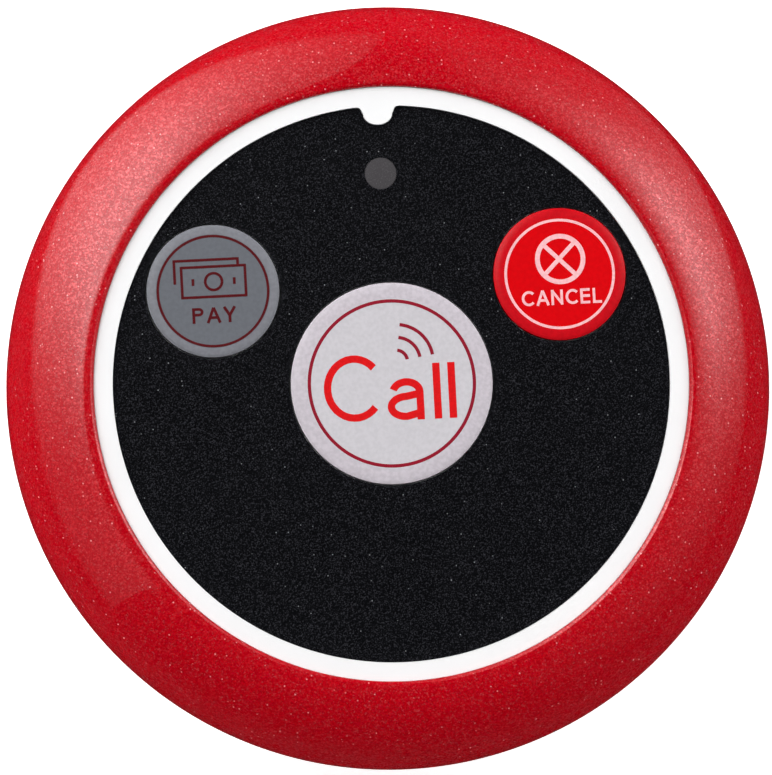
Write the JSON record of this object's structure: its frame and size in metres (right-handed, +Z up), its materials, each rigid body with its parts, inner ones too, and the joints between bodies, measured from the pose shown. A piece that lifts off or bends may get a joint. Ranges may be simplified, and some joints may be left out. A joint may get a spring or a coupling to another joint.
{
  "type": "table pager",
  "caption": "Round table pager: red bezel ring, white case, black face film, a large middle key, small side keys, lamp window, sliding battery door and rubber feet.",
  "frame": {"origin": "middle of the plane that the rubber feet stand on, under the middle of the call key", "axes": "+Z up out of the face and away from the table, +Y towards the lamp window at the top of the face, +X to the right as the face is read"},
  "size_m": [0.069, 0.069, 0.0198],
  "materials": {
    "red_metallic_plastic": "glossy clear coat over red with fine metal flake",
    "white_plastic": "fine satin",
    "black_film": "fine speckled texture",
    "smoky_window": "smoky translucent, fine texture",
    "call_key_grey": "satin",
    "pay_key_grey": "satin",
    "cancel_key_red": "satin",
    "black_plastic": "moulded, matt",
    "board_green": "solder mask, satin",
    "led_body": "clear",
    "bright_steel": "nickel plated",
    "copper_wire": "bare copper",
    "capacitor_sleeve": "printed sleeve, plain",
    "ceramic_brown": "ceramic",
    "battery_sleeve": "plain shrink sleeve",
    "foam_grey": "closed-cell foam",
    "rubber_black": "matt rubber"
  },
  "bodies": {
    "housing": {"bezel_ring": "red_metallic_plastic", "front_shell": "white_plastic", "overlay_film": "black_film", "led_window": "smoky_window", "call_switch_body": "black_plastic", "pay_switch_body": "black_plastic", "cancel_switch_body": "black_plastic", "main_board": "board_green", "status_led": "led_body", "encoder_chip": "black_plastic", "rf_transistor": "black_plastic", "saw_resonator": "bright_steel", "antenna_coil": "copper_wire", "electrolytic_capacitor": "capacitor_sleeve", "chip_resistor_1": "black_plastic", "chip_resistor_2": "black_plastic", "chip_resistor_3": "black_plastic", "chip_resistor_4": "black_plastic", "chip_capacitor_1": "ceramic_brown", "chip_capacitor_2": "ceramic_brown", "chip_capacitor_3": "ceramic_brown", "battery": "battery_sleeve", "battery_contact_plate": "bright_steel", "battery_spring_plate": "bright_steel", "battery_spring": "bright_steel", "rear_shell": "white_plastic", "case_seal": "foam_grey", "case_screw_1": "bright_steel", "case_screw_2": "bright_steel", "case_screw_3": "bright_steel", "case_screw_4": "bright_steel", "board_screw_1": "bright_steel", "board_screw_2": "bright_steel", "board_screw_3": "bright_steel", "foot_1": "rubber_black", "foot_2": "rubber_black", "foot_3": "rubber_black", "foot_4": "rubber_black"},
    "call_key": {"call_key_cap": "call_key_grey", "call_switch_stem": "black_plastic"},
    "pay_key": {"pay_key_cap": "pay_key_grey", "pay_switch_stem": "black_plastic"},
    "cancel_key": {"cancel_key_cap": "cancel_key_red", "cancel_switch_stem": "black_plastic"},
    "battery_door": {"battery_door": "white_plastic"}
  },
  "joints": [
    {"name": "call_press", "type": "slide", "parent": "housing", "child": "call_key", "axis": [0, 0, -1], "range_m": [0, 0.0004], "stiffness_N_per_m": 3750},
    {"name": "pay_press", "type": "slide", "parent": "housing", "child": "pay_key", "axis": [0, 0, -1], "range_m": [0, 0.0004], "stiffness_N_per_m": 3750},
    {"name": "cancel_press", "type": "slide", "parent": "housing", "child": "cancel_key", "axis": [0, 0, -1], "range_m": [0, 0.0004], "stiffness_N_per_m": 3750},
    {"name": "door_slide", "type": "slide", "parent": "housing", "child": "battery_door", "axis": [0, -1, 0], "range_m": [0, 0.04]}
  ]
}
